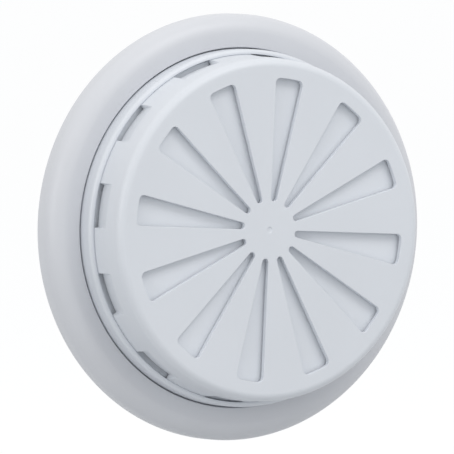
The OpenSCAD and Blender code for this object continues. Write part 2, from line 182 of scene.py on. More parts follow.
plastic = {
    "ior": 1.54,
    "across": 45,            # mm across the slow changes of tint and gloss
    "tintFrom": 0.3,
    "tintTo": 0.7,
    "tint": 0.015,
    "gloss": 0.04,
    "grain": 0.5,            # mm, spark texture of the mould
    "detail": 2.0,
    "bump": 0.12,
    "bumpDepth": 0.05,       # mm
}

metal = {
    "stretch": (1, 0.12, 1),
    "detail": 3.0,
    "glossier": 0.1,
    "duller": 0.12,
    "bump": 0.15,
    "bumpDepth": 0.02,
}

foam = {
    "roughness": 0.9,
    "cell": 0.9,             # mm
    "pale": 1.8,             # how much paler the middle of a cell wall is
    "bump": 0.6,
    "bumpDepth": 0.2,
}


# A new material, its shader and the object's own coordinates.
def startMaterial(name):
    mat = bpy.data.materials.new(name)
    mat.use_nodes = True
    tree = mat.node_tree
    return mat, tree, tree.nodes["Principled BSDF"], addNode(tree, "ShaderNodeTexCoord").outputs["Object"]


def noise(tree, place, across, detail):
    return addNode(tree, "ShaderNodeTexNoise", None,
                   {"Vector": place, "Scale": 1 / (across * mm), "Detail": detail}).outputs[0]


def shade(colour, factor):
    return tuple(min(c * factor, 1) for c in colour[:3]) + (1,)


def colourBetween(tree, shader, factor, low, high):
    mix = addNode(tree, "ShaderNodeMix", {"data_type": "RGBA"}, {0: factor})
    mix.inputs[6].default_value, mix.inputs[7].default_value = low, high
    tree.links.new(mix.outputs[2], shader.inputs["Base Color"])


def glossBetween(tree, shader, factor, low, high):
    gloss = addNode(tree, "ShaderNodeMapRange", None, {"Value": factor, "To Min": low, "To Max": high})
    tree.links.new(gloss.outputs[0], shader.inputs["Roughness"])


def bumpFrom(tree, shader, height, c):
    bump = addNode(tree, "ShaderNodeBump", None,
                   {"Height": height, "Strength": c["bump"], "Distance": c["bumpDepth"] * mm})
    tree.links.new(bump.outputs[0], shader.inputs["Normal"])


# Moulded ABS: satin, with the fine spark texture of the mould and slow changes in tint and gloss.
def mouldedPlastic(name, colour, roughness):
    c = plastic
    mat, tree, shader, place = startMaterial(name)
    shader.inputs["IOR"].default_value = c["ior"]
    slow = noise(tree, place, c["across"], c["detail"])
    tint = addNode(tree, "ShaderNodeMapRange", None,
                   {"Value": slow, "From Min": c["tintFrom"], "From Max": c["tintTo"]})
    base = linearColour(colour)
    colourBetween(tree, shader, tint.outputs[0], shade(base, 1 - c["tint"]), shade(base, 1 + c["tint"]))
    glossBetween(tree, shader, slow, roughness - c["gloss"], roughness + c["gloss"])
    bumpFrom(tree, shader, noise(tree, place, c["grain"], c["detail"]), c)
    return mat


# Rolled or drawn steel: metallic, with fine streaks in its roughness.
def steel(name, colour, roughness, grain):
    c = metal
    mat, tree, shader, place = startMaterial(name)
    shader.inputs["Metallic"].default_value = 1.0
    shader.inputs["Base Color"].default_value = linearColour(colour)
    stretch = addNode(tree, "ShaderNodeMapping", None, {"Vector": place, "Scale": c["stretch"]})
    streak = noise(tree, stretch.outputs[0], grain, c["detail"])
    glossBetween(tree, shader, streak, roughness - c["glossier"], roughness + c["duller"])
    bumpFrom(tree, shader, streak, c)
    return mat


# Closed cell polyethylene foam: matt, dark, with cells just under a millimetre across.
def closedCellFoam(name, colour):
    c = foam
    mat, tree, shader, place = startMaterial(name)
    shader.inputs["Roughness"].default_value = c["roughness"]
    cells = addNode(tree, "ShaderNodeTexVoronoi", None, {"Vector": place, "Scale": 1 / (c["cell"] * mm)})
    dark = linearColour(colour)
    colourBetween(tree, shader, cells.outputs["Distance"], dark, shade(dark, c["pale"]))
    bumpFrom(tree, shader, cells.outputs["Distance"], c)
    return mat


finish = {
    "cap": mouldedPlastic("white moulded ABS, face", "#dadee4", 0.42),
    "flange": mouldedPlastic("white moulded ABS, flange", "#d3d5da", 0.42),
    # painted light: the drum is paler than the cap so that its floors, seen in shade through the wedge openings, come
    # out as bright as the face
    "drum": mouldedPlastic("white moulded ABS, drum", "#e0e4ea", 0.45),
    "ring": mouldedPlastic("white moulded ABS, screen ring", "#d6d8dc", 0.45),
    "screw": steel("zinc plated steel", "#c4c6ca", 0.35, 0.6),
    "spring": steel("spring steel", "#9a9ca0", 0.3, 0.5),
    "wire": steel("drawn steel wire", "#a8aaad", 0.38, 0.4),
    "rivet": steel("aluminium rivets", "#c9cacc", 0.4, 0.5),
    "foam": closedCellFoam("closed cell foam", "#33353a"),
}


# A point at a radius, an angle in degrees from +X and a height over the wall, in the row frame.
def toRow(r, angle, height):
    a = math.radians(angle)
    return (r * math.cos(a) * mm, -height * mm, r * math.sin(a) * mm)


# Angle from +X of a direction given clockwise from the bottom, seen from the front.
def clockwise(angle):
    return -90 - angle


mergeDistance = 1e-7


def makeObject(name, verts, faces, material=None):
    mesh = bpy.data.meshes.new(name)
    mesh.from_pydata(verts, [], faces)
    bm = bmesh.new()
    bm.from_mesh(mesh)
    bmesh.ops.remove_doubles(bm, verts=bm.verts, dist=mergeDistance)
    bmesh.ops.recalc_face_normals(bm, faces=bm.faces)
    bm.to_mesh(mesh)
    bm.free()
    obj = bpy.data.objects.new(name, mesh)
    scene.collection.objects.link(obj)
    if material:
        mesh.materials.append(material)
    return obj


# A closed outline from corners (r, h, radius): each corner with a radius becomes an arc.
def rounded(corners, steps=4):
    out = []
    n = len(corners)
    for i, (r, h, radius) in enumerate(corners):
        if not radius:
            out.append((r, h))
            continue
        p = Vector((r, h))
        a = (Vector(corners[i - 1][:2]) - p).normalized()
        b = (Vector(corners[(i + 1) % n][:2]) - p).normalized()
        half = a.angle(b) / 2
        reach = radius / math.tan(half)
        middle = p + (a + b).normalized() * radius / math.sin(half)
        start = p + a * reach - middle
        sweep = math.pi - 2 * half
        side = 1 if a.x * b.y - a.y * b.x < 0 else -1
        count = max(2, math.ceil(steps * sweep / (math.pi / 2)))
        for k in range(count + 1):
            t = side * sweep * k / count
            out.append((middle.x + start.x * math.cos(t) - start.y * math.sin(t),
                        middle.y + start.x * math.sin(t) + start.y * math.cos(t)))
    return out


# Points of an arc about (r, h), angles in degrees from the outward direction towards the front.
def arc(r, h, radius, start, end, steps):
    turns = [math.radians(start + (end - start) * k / steps) for k in range(steps + 1)]
    return [(r + radius * math.cos(t), h + radius * math.sin(t)) for t in turns]


# Corners of a plain outline for rounded(), with nothing rounded.
def plainCorners(points):
    return [(r, h, 0) for r, h in points]


# Faces of a tube through outlines of n points each, with both its ends closed.
def tubeFaces(count, n):
    faces = [(i * n + k, i * n + (k + 1) % n, (i + 1) * n + (k + 1) % n, (i + 1) * n + k)
             for i in range(count - 1) for k in range(n)]
    return faces + [tuple(range(n)), tuple(range((count - 1) * n, count * n))]


# Joins closed outlines, one for each angle, all the way round the axis; points on the axis merge there.
def loft(sections, angles):
    verts, faces = [], []
    count, rings = len(sections[0]), len(sections)
    for section, angle in zip(sections, angles):
        verts += [toRow(r, angle, h) for r, h in section]
    for i in range(rings):
        j = (i + 1) % rings
        for k in range(count):
            m = (k + 1) % count
            faces.append((i * count + k, i * count + m, j * count + m, j * count + k))
    return verts, faces


def revolve(name, corners, material, steps=360):
    section = rounded(corners)
    return makeObject(name, *loft([section] * steps, [360 * i / steps for i in range(steps)]), material)


# A closed outline swept through an angle either side of +X.
def sectorBlock(name, half, corners, steps=8, arcs=3):
    section = rounded(corners, arcs)
    turns = [half * (2 * k / steps - 1) for k in range(steps + 1)]
    verts = [toRow(r, turn, h) for turn in turns for r, h in section]
    return makeObject(name, verts, tubeFaces(steps + 1, len(section)))


# Smooth shading, with edges sharper than an angle kept crisp, and flat faces kept flat.
def smoothByAngle(obj, degrees):
    mesh = obj.data
    bm = bmesh.new()
    bm.from_mesh(mesh)
    for f in bm.faces:
        f.smooth = True
    for e in bm.edges:
        e.smooth = len(e.link_faces) == 2 and e.calc_face_angle(0) < math.radians(degrees)
    bm.to_mesh(mesh)
    bm.free()
    weighted = obj.modifiers.new("normals", "WEIGHTED_NORMAL")
    weighted.keep_sharp = True


# Turns the result of the modifiers into the object's own plain mesh.
def bake(obj):
    depsgraph = bpy.context.evaluated_depsgraph_get()
    mesh = bpy.data.meshes.new_from_object(obj.evaluated_get(depsgraph))
    old = obj.data
    obj.modifiers.clear()
    obj.data = mesh
    mesh.name = obj.name
    bpy.data.meshes.remove(old)


# An empty Geometry Nodes tree with named inputs; returns the tree, its input node and its output node.
def repeatTree(name, inputs):
    tree = bpy.data.node_groups.new(name, "GeometryNodeTree")
    tree.interface.new_socket(name="Geometry", in_out="INPUT", socket_type="NodeSocketGeometry")
    for label, kind in inputs:
        tree.interface.new_socket(name=label, in_out="INPUT", socket_type=kind)
    tree.interface.new_socket(name="Geometry", in_out="OUTPUT", socket_type="NodeSocketGeometry")
    return tree, addNode(tree, "NodeGroupInput"), addNode(tree, "NodeGroupOutput")


def setInputs(modifier, values):
    for item in modifier.node_group.interface.items_tree:
        if item.in_out == "INPUT" and item.name in values:
            modifier[item.identifier] = values[item.name]


# Copies of a geometry turned round the axis, from the tree's Count, Pitch and First inputs.
def roundTheAxis(tree, source, geometry):
    line = addNode(tree, "GeometryNodeMeshLine", None, {"Count": source.outputs["Count"], "Offset": (0, 0, 0)})
    index = addNode(tree, "GeometryNodeInputIndex")
    step = addNode(tree, "ShaderNodeMath", {"operation": "MULTIPLY_ADD"},
                   {0: index.outputs[0], 1: source.outputs["Pitch"], 2: source.outputs["First"]})
    turn = addNode(tree, "ShaderNodeCombineXYZ", None, {"Y": step.outputs[0]})
    return addNode(tree, "GeometryNodeInstanceOnPoints", None,
                   {"Points": line.outputs[0], "Instance": geometry, "Rotation": turn.outputs[0]})


repeatInputs = [("Count", "NodeSocketInt"), ("Pitch", "NodeSocketFloat"), ("First", "NodeSocketFloat"),
                ("Shape", "NodeSocketObject"), ("Finish", "NodeSocketMaterial")]


# Realizes what there is, gives it the Finish and ends the tree.
def endTree(tree, source, out, geometry):
    plain = addNode(tree, "GeometryNodeRealizeInstances", None, {0: geometry})
    painted = addNode(tree, "GeometryNodeSetMaterial", None,
                      {"Geometry": plain.outputs[0], "Material": source.outputs["Finish"]})
    tree.links.new(painted.outputs[0], out.inputs[0])
    return tree


# Cuts a shape, repeated round the axis, out of the geometry.
def cutTree():
    tree, source, out = repeatTree("cut round the axis", repeatInputs)
    shape = addNode(tree, "GeometryNodeObjectInfo", None, {"Object": source.outputs["Shape"]})
    copies = roundTheAxis(tree, source, shape.outputs["Geometry"])
    real = addNode(tree, "GeometryNodeRealizeInstances", None, {0: copies.outputs[0]})
    cut = addNode(tree, "GeometryNodeMeshBoolean", {"operation": "DIFFERENCE", "solver": "EXACT"},
                  {"Mesh 1": source.outputs["Geometry"], "Mesh 2": real.outputs[0]})
    return endTree(tree, source, out, cut.outputs[0])


# Adds a shape, repeated round the axis, to the geometry.
def addTree():
    tree, source, out = repeatTree("repeat round the axis", repeatInputs)
    shape = addNode(tree, "GeometryNodeObjectInfo", None, {"Object": source.outputs["Shape"]})
    copies = roundTheAxis(tree, source, shape.outputs["Geometry"])
    both = addNode(tree, "GeometryNodeJoinGeometry", None, {0: source.outputs["Geometry"]})
    tree.links.new(copies.outputs[0], both.inputs[0])
    return endTree(tree, source, out, both.outputs[0])


cutRound, addRound = cutTree(), addTree()


# Runs one of the two trees on an object and bakes it; the shape is drawn along +X.
def repeatOn(obj, group, shape, count, pitch, first, material):
    modifier = obj.modifiers.new(group.name, "NODES")
    modifier.node_group = group
    # the row's y axis points away from the viewer, so a turn about it is the negative of a drawn angle
    setInputs(modifier, {"Count": count, "Pitch": -math.radians(pitch), "First": -math.radians(first),
                         "Shape": shape, "Finish": material})
    bake(obj)
    bpy.data.objects.remove(shape)


openings = {
    "count": 12,
    "first": 8.8,            # clockwise from the bottom
    "angle": 12.0,
    "inner": 23.0 / 2,
    "outer": 120.6 / 2,
    "corner": 2.0,
    "arcShare": 0.8,         # part of the outer edge that is one plain arc
    "endSteps": 10,
    "cornerSteps": 8,
    "lip": 0.25,             # radius of the edge towards the front
    "lipSteps": 5,
    "backLip": 0.2,
    "backLipSteps": 3,
    "over": 1,               # how far the cutter runs past the plate
    "bite": 0.01,
}
pitch = 360 / openings["count"]


# Outline of a wedge opening along +X, made larger by an exact offset.
def wedgeOutline(o, grow):
    half = o["angle"] / 2
    sine = math.sin(math.radians(half))
    endX = o["inner"] / (1 - sine)
    cornerX = o["outer"] - o["corner"]
    cornerAngle = half - math.degrees(math.asin(o["corner"] / cornerX))
    x, y = cornerX * math.cos(math.radians(cornerAngle)), cornerX * math.sin(math.radians(cornerAngle))
    plain = cornerAngle * o["arcShare"]
    radius, steps = o["corner"] + grow, o["cornerSteps"]
    return (arc(endX, 0, endX * sine + grow, 90 + half, 270 - half, o["endSteps"])
            + arc(x, -y, radius, -90 - half, -cornerAngle, steps)
            + arc(0, 0, o["outer"] + grow, -plain, plain, steps)
            + arc(x, y, radius, cornerAngle, 90 + half, steps))


# Cutter for one wedge opening, flared where it leaves the plate so that the edges come out round.
def wedgeCutter(o, back, front):
    quarter = math.pi / 2
    levels = [(back - o["over"], o["backLip"])]
    for t in [quarter * k / o["backLipSteps"] for k in range(o["backLipSteps"] + 1)]:
        levels.append((back - o["bite"] + o["backLip"] * (1 - math.cos(t)), o["backLip"] * (1 - math.sin(t))))
    for t in [quarter * k / o["lipSteps"] for k in range(o["lipSteps"] + 1)]:
        levels.append((front + o["bite"] - o["lip"] * (1 - math.sin(t)), o["lip"] * (1 - math.cos(t))))
    levels.append((front + o["over"], o["lip"]))
    verts = [(x * mm, -h * mm, y * mm) for h, grow in levels for x, y in wedgeOutline(o, grow)]
    return makeObject("cutter", verts, tubeFaces(len(levels), len(verts) // len(levels)))


print("cap")

cap = {
    "ringOuter": 142.3 / 2,
    "ringInner": 142.3 / 2 - 1.95,
    "ringTop": 18.0,
    "ringRound": 1.55,
    "ringLoop": 14.0,        # an edge loop half way up the ring
    "skirt": 9.0,
    "skirtEdge": (0.3, 0.1), # a soft edge: its size, and how far in its middle lies
    "crestEdge": (0.15, 0.04),
    "ledgeTop": 17.7,
    "ledgeBack": 16.5,
    "ledgeRoot": 0.3,        # how far the ledge runs into the side wall
    "ledgeTilt": 0.05,
    "wallBase": 69.0,
    "wallTop": 68.0,
    "wall": 1.9,
    "wallEdge": (0.25, 0.07),
    "corner": 33.2,
    "round": 3.3,
    "innerRound": 1.1,
    "front": 36.5,
    "back": 34.3,
    "faceLoops": (10.0, 62.5),
    "gateMark": [(0.0, 0.35), (0.9, 0.35), (1.1, 0.25), (1.2, 0.1), (1.3, 0.0)],   # radius and depth
    "screwEnd": [(1.6, 0.0), (1.5, 0.1), (1.5, 0.3), (0.0, 0.3)],
    "scoopHalf": 7.1,
    "scoopSteps": 7,
    "cheek": 0.4,            # degrees over which a scoop's side comes up
    "cheekSteps": 4,
    "plainSteps": 15,
    "scoopTop": 26.4,
    "scoopSoft": [0.5, 0.15, -0.2, -0.6],    # heights about the scoop's top where its edge is softened
    "scoopSink": 0.02,
    "scoopDepth": 1.9,
    "scoopWall": 1.6,
    "rampSteps": 8,
    "bodyTop": 1.5,          # how far the scoop's body runs on above it, inside
    "bodyFade": 0.6,
    "bodyHeights": (22.0, 25.0),
}


def easeInOut(t):
    t = min(max(t, 0), 1)
    return t * t * (3 - 2 * t)


def mixSections(a, b, t):
    return [(p[0] + (q[0] - p[0]) * t, p[1] + (q[1] - p[1]) * t) for p, q in zip(a, b)]


# The lower end of a wall with both its edges softened, from the outer side to the inner.
def lowerEdge(r, h, thick, soft):
    edge, middle = soft
    return [(r, h + edge), (r - middle, h + middle), (r - edge, h),
            (r - thick + edge, h), (r - thick + middle, h + middle), (r - thick, h + edge)]


# Angles round the cap from a scoop's middle, with how much of the scoop there is at each.
def capAngles(c):
    side = c["scoopHalf"] + c["cheek"]
    scoop, cheek, plain = c["scoopSteps"], c["cheekSteps"], c["plainSteps"]
    return ([(c["scoopHalf"] * k / scoop, 1.0) for k in range(-scoop, scoop + 1)]
            + [(c["scoopHalf"] + c["cheek"] * k / cheek, 1 - easeInOut(k / cheek)) for k in range(1, cheek + 1)]
            + [(side + (pitch - 2 * side) * k / plain, 0.0) for k in range(1, plain)]
            + [(pitch - side + c["cheek"] * k / cheek, easeInOut(k / cheek)) for k in range(cheek)])


# Face and side wall as one closed shell: its section between the scoops and its section at a scoop.
def capShell(c):
    slope = (c["wallTop"] - c["wallBase"]) / (c["corner"] - c["ledgeTop"])
    top = c["wallBase"] + slope * (c["scoopTop"] - c["ledgeTop"])
    foot = c["wallBase"] - c["scoopDepth"]
    rampSlope = (top - foot) / (c["scoopTop"] - c["ringTop"])

    def wallAt(h):
        return c["wallBase"] + slope * (h - c["ledgeTop"])

    def rampAt(h):
        return foot + rampSlope * (h - c["ringTop"])

    flat = c["wallTop"] - c["round"]
    face = [(r, c["front"] - depth) for r, depth in c["gateMark"]]
    face += [(r, c["front"]) for r in c["faceLoops"]]
    face += arc(flat, c["corner"], c["round"], 90, 0, 12)
    heights = [c["scoopTop"] + h for h in c["scoopSoft"]]
    plain = [(wallAt(h), h) for h in heights]
    scooped = [(wallAt(heights[0]), heights[0]), (wallAt(heights[1]) - c["scoopSink"], heights[1]),
               (rampAt(heights[2]) - c["scoopSink"], heights[2]), (rampAt(heights[3]), heights[3])]
    for k in range(1, c["rampSteps"] + 1):
        h = heights[3] + (c["ringTop"] - heights[3]) * k / c["rampSteps"]
        plain.append((wallAt(h), h))
        scooped.append((rampAt(h), h))
    scooped += lowerEdge(foot, c["ringTop"] - c["scoopWall"] / 3, c["scoopWall"], c["wallEdge"])
    plain += lowerEdge(c["wallBase"], c["ledgeBack"], c["wall"], c["wallEdge"])
    # up the inside, where the scoop's body ends a little above its hollow
    bodyTop = c["scoopTop"] + c["bodyTop"]
    bodyEnd = bodyTop + c["bodyFade"]
    plain += [(wallAt(h) - c["wall"], h) for h in (*c["bodyHeights"], bodyTop, bodyEnd)]
    scooped += [(rampAt(h) - c["scoopWall"], h) for h in c["bodyHeights"]]
    scooped += [(top - c["wall"] - c["ledgeTilt"], bodyTop), (top - c["wall"], bodyEnd)]
    inside = arc(flat, c["corner"], c["innerRound"], 0, 90, 4)
    inside += [(r, c["back"]) for r in reversed(c["faceLoops"])]
    inside += [(r, c["back"] + depth) for r, depth in c["screwEnd"]]
    return face + plain + inside, face + scooped + inside


# The base ring, with a ledge to the side wall where there is no slit.
def ringSections(c):
    r0, r1, top = c["ringInner"], c["ringOuter"], c["ringTop"]
    edge, middle = c["crestEdge"]
    outer = arc(r1 - c["ringRound"], top - c["ringRound"], c["ringRound"], 90, 0, 8)
    outer += lowerEdge(r1, c["skirt"], r1 - r0, c["skirtEdge"])
    outer += [(r0, c["ringLoop"]), (r0, c["ledgeBack"])]
    crest = [(r0, top - edge), (r0 + middle, top - middle), (r0 + edge, top)]
    slit = [(r0, c["ledgeBack"] + 0.1), (r0, c["ledgeTop"] - 0.2), (r0, c["ledgeTop"] - 0.1)]
    root = c["wallBase"] - c["wall"] + c["ledgeRoot"]
    ledge = [(root, c["ledgeBack"] + c["ledgeTilt"]), (root, c["ledgeTop"] - c["ledgeRoot"]),
             (r0 - c["scoopSink"], c["ledgeTop"])]
    return outer + ledge + crest, outer + slit + crest


def makeCap(c):
    verts, faces = [], []
    for plain, scooped in (capShell(c), ringSections(c)):
        sections, angles = [], []
        for i in range(openings["count"]):
            middle = clockwise(openings["first"] + i * pitch)
            for offset, amount in capAngles(c):
                sections.append(mixSections(plain, scooped, amount))
                angles.append(middle - offset)
        v, f = loft(sections, angles)
        faces += [tuple(k + len(verts) for k in face) for face in f]
        verts += v
    return makeObject("capShell", verts, faces, finish["cap"])


capObject = makeCap(cap)
repeatOn(capObject, cutRound, wedgeCutter(openings, cap["back"], cap["front"]), openings["count"], -pitch,
         clockwise(openings["first"]), finish["cap"])
smoothByAngle(capObject, 32)
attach(capObject, "cap")


print("flange")

flange = {
    "outer": 84.97,
    "edge": 4.2,             # straight part of the rim next to the wall
    "rimRound": 7.3,
    "innerStart": 116,       # degrees, where the rim's inner side leaves its arc
    "crestBack": 2.2,        # the fall from the rim's crest to the cap
    "crestDrop": 0.09,
    "lip": 11.0,             # height of the front at the cap
    "lipWidth": 1.4,
    "lipRise": 0.05,
    "wall": 2.2,
    "well": 71.65,
    "floor": 4.0,
    "floorThick": 2.2,
    "spigot": 62.0,
    "bore": 59.6,
    "length": 34.0,
    "boreRound": 0.4,
    "spigotRound": 0.6,
    "footRound": 0.3,
    "edgeRound": 0.5,
    "ribs": 24,
    "ribThick": 1.5,
    "ribFoot": 3.0,
    "ribBite": 0.3,
    "ribDrop": 0.4,
    "clips": 4,
    "clipTurn": 45,
    "pocket": 60.7,          # flat that a clip's foot lies on
    "pocketFront": -3.5,
    "pocketBack": -13.0,
    "windowBack": -24.5,
    "windowHalf": 6.0,
    "rivetHole": 1.5,
    "rivetHeight": -8.5,
    "rivetSteps": 24,
    "feet": 6,
    "footHalf": 4.15,        # holes in the floor for the drum's feet
    "footInner": 62.85,
    "footOuter": 64.35,
    "over": 1,
}


def flangeCorners(f):
    rim = f["outer"] - f["rimRound"]
    wellOut = f["well"] + f["wall"]
    floorBack = f["floor"] - f["floorThick"]
    inner = f["rimRound"] - f["wall"]
    top = f["edge"] + f["rimRound"]
    soft = f["edgeRound"]
    return (
        [(f["bore"], -f["length"], f["boreRound"]), (f["spigot"], -f["length"], f["spigotRound"]),
         (f["spigot"], floorBack, soft), (wellOut, floorBack, f["boreRound"]),
         (wellOut, f["lip"] - f["wall"], f["spigotRound"])]
        + plainCorners(arc(rim, f["edge"], inner, f["innerStart"], 0, 12))
        + [(rim + inner, 0, f["footRound"]), (f["outer"], 0, soft)]
        + plainCorners(arc(rim, f["edge"], f["rimRound"], 0, 90, 20))
        + [(rim - f["crestBack"], top - f["crestDrop"], 0), (f["well"] + f["lipWidth"], f["lip"] + f["lipRise"], 0)]
        + [(f["well"], f["lip"], soft), (f["well"], f["floor"], soft), (f["bore"], f["floor"], soft)]
    )


# One rib along +X behind the flange.
def ribShape(f):
    wellOut = f["well"] + f["wall"] - f["ribBite"]
    rim = f["outer"] - f["rimRound"]
    inner = f["rimRound"] - f["wall"] + f["ribBite"]
    outline = [(wellOut, f["ribFoot"]), (rim + inner, f["ribFoot"]), (rim + inner, f["edge"])]
    outline += arc(rim, f["edge"], inner, 10, 90, 8)
    outline += [(wellOut, f["edge"] + inner - f["ribDrop"])]
    half = f["ribThick"] / 2
    verts = [(r * mm, -h * mm, side * mm) for side in (-half, half) for r, h in outline]
    return makeObject("rib", verts, tubeFaces(2, len(outline)))


# Box through a wall along +X, as wide as a clip's window, between two heights over the wall.
def windowCutter(f, inner, back, front):
    half = f["windowHalf"]
    verts = [(r * mm, -h * mm, side * mm) for r in (inner, f["spigot"] + f["over"])
             for side in (-half, half) for h in (back, front)]
    faces = [(0, 1, 3, 2), (4, 5, 7, 6), (0, 1, 5, 4), (2, 3, 7, 6), (0, 2, 6, 4), (1, 3, 7, 5)]
    return makeObject("cutter", verts, faces)


def rivetHole(f):
    n = f["rivetSteps"]
    ring = arc(0, 0, f["rivetHole"], 0, 360 - 360 / n, n - 1)
    verts = [(r * mm, -(h + f["rivetHeight"]) * mm, side * mm)
             for r in (f["bore"] - f["over"], f["spigot"] + f["over"]) for side, h in ring]
    return makeObject("cutter", verts, tubeFaces(2, n))


flangeObject = revolve("flangeShell", flangeCorners(flange), finish["flange"])
for cutter in (windowCutter(flange, flange["pocket"], flange["pocketBack"], flange["pocketFront"]),
               windowCutter(flange, flange["bore"] - flange["over"], flange["windowBack"], flange["pocketBack"]),
               rivetHole(flange)):
    repeatOn(flangeObject, cutRound, cutter, flange["clips"], 360 / flange["clips"], flange["clipTurn"],
             finish["flange"])
holeFront = flange["floor"] + 2 * flange["over"]
footHole = sectorBlock("footHole", flange["footHalf"], plainCorners([
    (flange["footInner"], 0), (flange["footOuter"], 0),
    (flange["footOuter"], holeFront), (flange["footInner"], holeFront)]))
repeatOn(flangeObject, cutRound, footHole, flange["feet"], 360 / flange["feet"], 0, finish["flange"])
smoothByAngle(flangeObject, 32)
repeatOn(flangeObject, addRound, ribShape(flange), flange["ribs"], 360 / flange["ribs"], 0, finish["flange"])
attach(flangeObject, "base")

print("drum")

drum = {
    "outer": 64.3,
    "wall": 1.6,
    "front": 33.5,
    "face": 2.0,
    "round": 1.2,
    "brimTop": 16.0,
    "brimThick": 1.6,
    "brimOuter": 68.7,
    "brimRound": 0.3,
    "rootRound": 0.5,
    "slotInner": 64.4,
    "slotOuter": 67.6,
    "slotHalf": 7.5,
    "slotBack": 4.0,         # how far the cutter reaches behind and in front of the brim's top
    "slotFront": 0.4,
    "hub": 10.0,
    "hubBack": 27.5,
    "hubRound": 0.8,
    "hubEdge": 0.4,
    "bore": 4.58,
    "boreRound": 0.2,
    "feet": 6,
    "footHalf": 4.0,
    "footInner": 63.0,
    "footOuter": 64.2,
    "footRoot": 0.8,         # how far a foot goes into the brim
    "hook": 0.9,
    "hookHeight": 1.2,
    "hookTop": 1.75,         # just behind the flange's floor
    "hookRound": 0.2,
    "hookEdge": 0.15,
}


def drumCorners(d):
    inner = d["outer"] - d["wall"]
    back = d["front"] - d["face"]
    brimBack = d["brimTop"] - d["brimThick"]
    return [(d["bore"], d["front"], d["boreRound"]), (d["outer"], d["front"], d["round"]),
            (d["outer"], d["brimTop"], d["rootRound"]), (d["brimOuter"], d["brimTop"], d["brimRound"]),
            (d["brimOuter"], brimBack, d["brimRound"]), (inner, brimBack, d["brimRound"]),
            (inner, back, d["hubRound"]), (d["hub"], back, d["hubRound"]),
            (d["hub"], d["hubBack"], d["hubEdge"]), (d["bore"], d["hubBack"], d["brimRound"])]


def slotShape(d):
    back, front = d["brimTop"] - d["slotBack"], d["brimTop"] + d["slotFront"]
    return sectorBlock("slotCutter", d["slotHalf"], plainCorners([
        (d["slotInner"], back), (d["slotOuter"], back), (d["slotOuter"], front), (d["slotInner"], front)]))


# A foot that goes through the flange's floor and hooks behind it.
def footShape(d):
    root, end = d["brimTop"] - d["footRoot"], d["hookTop"] - d["hookHeight"]
    return sectorBlock("foot", d["footHalf"], [
        (d["footInner"], root, 0), (d["footInner"], end, d["hookRound"]), (d["footOuter"], end, d["hookRound"]),
        (d["footOuter"] + d["hook"], d["hookTop"], d["hookEdge"]), (d["footOuter"], d["hookTop"], 0),
        (d["footOuter"], root, 0)])


drumObject = revolve("drumShell", drumCorners(drum), finish["drum"])
firstOpening = clockwise(openings["first"] - pitch / 2)
for cutter in (wedgeCutter(openings, drum["front"] - drum["face"], drum["front"]), slotShape(drum)):
    repeatOn(drumObject, cutRound, cutter, openings["count"], -pitch, firstOpening, finish["drum"])
smoothByAngle(drumObject, 32)
repeatOn(drumObject, addRound, footShape(drum), drum["feet"], 360 / drum["feet"], 0, finish["drum"])
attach(drumObject, "base")

print("pivot")

pivot = {
    "bossEnd": 26.55,
    "bossRadius": 4.5,
    "bossRoot": 0.2,
    "screwHole": 1.55,
    "washerOuter": 8.2,
    "washerThick": 1.0,
    "washerGap": 0.3,
    "springOuter": 7.8,
    "springHeight": 0.9,
    "springThick": 0.4,
    "headRadius": 3.6,
    "headHeight": 2.4,
    "headShape": [(0.62, 1.0, 0.5), (0.95, 0.55, 0.6), (1.0, 0.0, 0.25)],   # shares, and a rounding in mm
    "shank": 1.5,
    "core": 0.72,            # share of the shank under the thread
    "threadPitch": 0.8,
    "threadSteps": 20,
    "threadStart": 0.2,
    "threadSink": 0.1,
    "threadHalf": 0.3,       # half width of the thread, as a share of its pitch
    "tip": 34.2,
    "tipLength": 0.6,
    "tipRadius": 0.4,
    "crossWidth": 1.0,
    "crossLength": 4.2,
    "crossDepth": 1.5,
    "crossTaper": 0.55,
    "fine": 0.08,            # edge roundings
    "soft": 0.15,
    "wide": 0.25,
}


# Adds other objects' meshes to an object; they are all drawn in place.
def joinInto(obj, others):
    bm = bmesh.new()
    bm.from_mesh(obj.data)
    for other in others:
        bm.from_mesh(other.data)
        bpy.data.objects.remove(other)
    bm.to_mesh(obj.data)
    bm.free()


def crossCutter(p, top, turn):
    w, l = p["crossWidth"] / 2, p["crossLength"] / 2
    cos, sin = math.cos(math.radians(turn)), math.sin(math.radians(turn))
    back = top - p["headHeight"]
    verts = []
    for h, share in ((back - openings["over"], 1.0), (back + p["crossDepth"], p["crossTaper"])):
        for x, y in ((-l * share, -w), (l * share, -w), (l * share, w), (-l * share, w)):
            verts.append(((x * cos - y * sin) * mm, -h * mm, (x * sin + y * cos) * mm))
    faces = [(0, 1, 2, 3), (4, 5, 6, 7), (0, 1, 5, 4), (1, 2, 6, 5), (2, 3, 7, 6), (3, 0, 4, 7)]
    return makeObject("crossCutter", verts, faces)


# The thread: one profile wound up the shank, running out at both ends.
def makeThread(p, top, core):
    steps, start = p["threadSteps"], top + p["threadStart"]
    count = int((p["tip"] - p["tipLength"] - start) / p["threadPitch"] * steps)
    verts, low = [], core - p["threadSink"]
    for k in range(count + 1):
        t = k / steps
        grow = min(1, k / steps, (count - k) / steps)
        h = start + t * p["threadPitch"]
        crest = core + (p["shank"] - core) * grow
        for r, dh in ((low, -p["threadHalf"]), (crest, 0), (low, p["threadHalf"])):
            verts.append(toRow(r, 360 * t, h + dh * p["threadPitch"]))
    return makeObject("thread", verts, tubeFaces(count + 1, 3))


